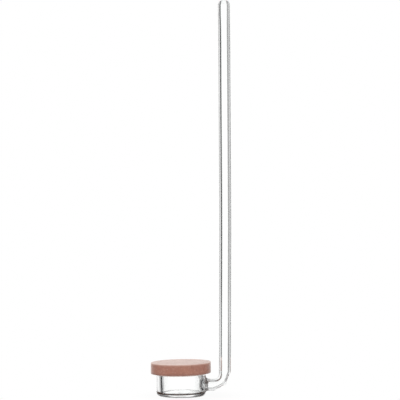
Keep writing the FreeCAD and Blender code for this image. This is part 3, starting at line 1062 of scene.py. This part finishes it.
# a white sweep straight ahead, dark beside it, pale light from behind the camera
AROUND = [
    (-180, 1.0), (-95, 1.0), (-78, 0.03), (-51, 0.0), (-46, 0.22), (-42, 0.30), (-38, 0.52),
    (-28, 0.58), (-23, 1.06), (20, 1.06), (24, 0.60), (38, 0.45), (44, 0.40), (50, 0.52),
    (60, 0.52), (66, 0.08), (84, 0.06), (100, 0.95), (180, 1.0),
]
# higher up the dark cards beside the sweep reach further round
AROUND_HIGH = [
    (-180, 1.0), (-105, 1.0), (-88, 0.02), (-50, 0.0), (-45, 0.09), (-41, 0.14), (-34, 0.24),
    (-25, 0.35), (-20, 1.06), (18, 1.06), (22, 0.40), (38, 0.24), (44, 0.25), (48, 0.60),
    (60, 0.75), (68, 0.08), (86, 0.05), (102, 0.95), (180, 1.0),
]
HIGH = [(-90, 0.0), (-4.1, 0.0), (-3.3, 1.0), (90, 1.0)]
# a darker edge on the right, in a narrow band of height
BESIDE_DARK = [(-180, 0.0), (22, 0.0), (26, 0.30), (44, 0.28), (50, 0.0), (180, 0.0)]
LEDGE = [(-90, 0.0), (-6.9, 0.0), (-6.4, 1.0), (-5.3, 1.0), (-5.0, 0.0), (90, 0.0)]
# the sweep ends in the dark above and at the table's edge below
BAND = [(-90, 0.0), (-27, 0.0), (-23, 1.0), (15, 1.0), (19, 0.0), (90, 0.0)]
# the table near by, and a soft box overhead
REST = [
    (-90, 0.35), (-66, 0.45), (-52, 0.95), (-34, 0.95), (-29, 0.15), (-23, 0.0), (15, 0.0),
    (19, 0.22), (24, 0.10), (44, 0.10), (50, 0.95), (90, 0.95),
]


def build_world():
    world = bpy.data.worlds.new("studio")
    bpy.context.scene.world = world
    tree = empty_tree(world)

    def calc(operation, *values):
        return add_math(tree, operation, *values)

    def profile(angle, stops):
        """Brightness against an angle."""
        factor = calc("ADD", calc("DIVIDE", angle, TAU), 0.5)
        return add_ramp(tree, factor, [(deg / 360 + 0.5, (v, v, v)) for deg, v in stops])

    def background(colour):
        return add_node(tree, "Background", {"Color": colour}).outputs[0]

    coord = add_node(tree, "TexCoord")
    path = add_node(tree, "LightPath")
    # the camera's own axes, so that the light boxes stay beside the camera when it moves round
    seen = add_node(tree, "SeparateXYZ", {0: coord.outputs["Camera"]})
    x, y, z = (seen.outputs[axis] for axis in "XYZ")
    across = calc("ARCTAN2", x, z)
    level = calc("SQRT", calc("ADD", calc("MULTIPLY", x, x), calc("MULTIPLY", z, z)))
    rise = calc("ARCTAN2", y, level)

    around = profile(across, AROUND)
    change = calc("SUBTRACT", profile(across, AROUND_HIGH), around)
    around = calc("ADD", around, calc("MULTIPLY", change, profile(rise, HIGH)))
    ledge = calc("MULTIPLY", profile(across, BESIDE_DARK), profile(rise, LEDGE))
    around = calc("SUBTRACT", around, ledge)
    boxes = calc("ADD", calc("MULTIPLY", around, profile(rise, BAND)), profile(rise, REST))

    # what lights the ceramic: even white, stronger from above
    direction = add_node(tree, "SeparateXYZ", {0: coord.outputs["Generated"]})
    lift = add_node(
        tree,
        "MapRange",
        {
            "Value": direction.outputs["Z"],
            "From Min": -1,
            "From Max": 1,
            "To Min": 0.2,
            "To Max": 1.6,
        },
    )
    bent = path.outputs["Is Transmission Ray"], path.outputs["Is Glossy Ray"]
    sharp = calc("MAXIMUM", *bent)
    shader = mix_shaders(tree, sharp, background(lift.outputs["Result"]), background(boxes))
    white = background((1.0, 1.0, 1.0, 1))
    shader = mix_shaders(tree, path.outputs["Is Camera Ray"], shader, white)
    add_node(tree, "OutputWorld", {"Surface": shader})


build_world()

# ------------------------------------------------------------------ camera


def build_camera():
    """A long lens looking level along +Y."""
    data = bpy.data.cameras.new("camera")
    data.sensor_width = 36
    data.lens = 144
    data.clip_start = 0.05
    data.clip_end = 20
    camera = bpy.data.objects.new("camera", data)
    bpy.context.scene.collection.objects.link(camera)
    camera.location = (9.6 * MM, -811 * MM, 99.1 * MM)
    camera.rotation_euler = (math.pi / 2, 0, 0)
    bpy.context.scene.camera = camera


build_camera()

# ------------------------------------------------------------------ floor


def floor_material():
    """White, with a soft contact shadow round the floor's middle."""
    material, tree = new_material("studio_floor")
    place = add_node(tree, "TexCoord").outputs["Object"]
    distance = add_node(tree, "VectorMath", {0: place}, operation="LENGTH")
    fade = add_node(
        tree,
        "MapRange",
        {
            "Value": distance.outputs["Value"],
            "From Min": 0.010,
            "From Max": 0.032,
            "To Min": 0.965,
            "To Max": 1.0,
        },
        interpolation_type="SMOOTHSTEP",
    )
    glow = add_node(tree, "Emission", {"Color": fade.outputs["Result"]}).outputs[0]
    # what the glass bends or mirrors is the room beyond the floor's edge, not the floor
    path = add_node(tree, "LightPath")
    bent = path.outputs["Is Transmission Ray"], path.outputs["Is Glossy Ray"]
    clear = add_node(tree, "BsdfTransparent").outputs[0]
    set_surface(tree, mix_shaders(tree, add_math(tree, "MAXIMUM", *bent), glow, clear))
    return material


def build_floor():
    material = floor_material()
    mesh = bpy.data.meshes.new("studio_floor")
    work = bmesh.new()
    bmesh.ops.create_circle(work, cap_ends=True, segments=96, radius=0.6)
    work.to_mesh(mesh)
    work.free()
    mesh.materials.append(material)
    floor = bpy.data.objects.new("studio_floor", mesh)
    floor.location = (0.0048, 0, -0.00002)
    bpy.context.scene.collection.objects.link(floor)


build_floor()

# ------------------------------------------------------------------ render settings

scene = bpy.context.scene
scene.view_settings.view_transform = "Standard"
scene.view_settings.look = "None"
# light has to pass many glass faces
cycles = scene.cycles
cycles.max_bounces = 24
cycles.transmission_bounces = 24
cycles.glossy_bounces = 12
cycles.diffuse_bounces = 4
cycles.transparent_max_bounces = 64
cycles.caustics_refractive = True
cycles.caustics_reflective = True
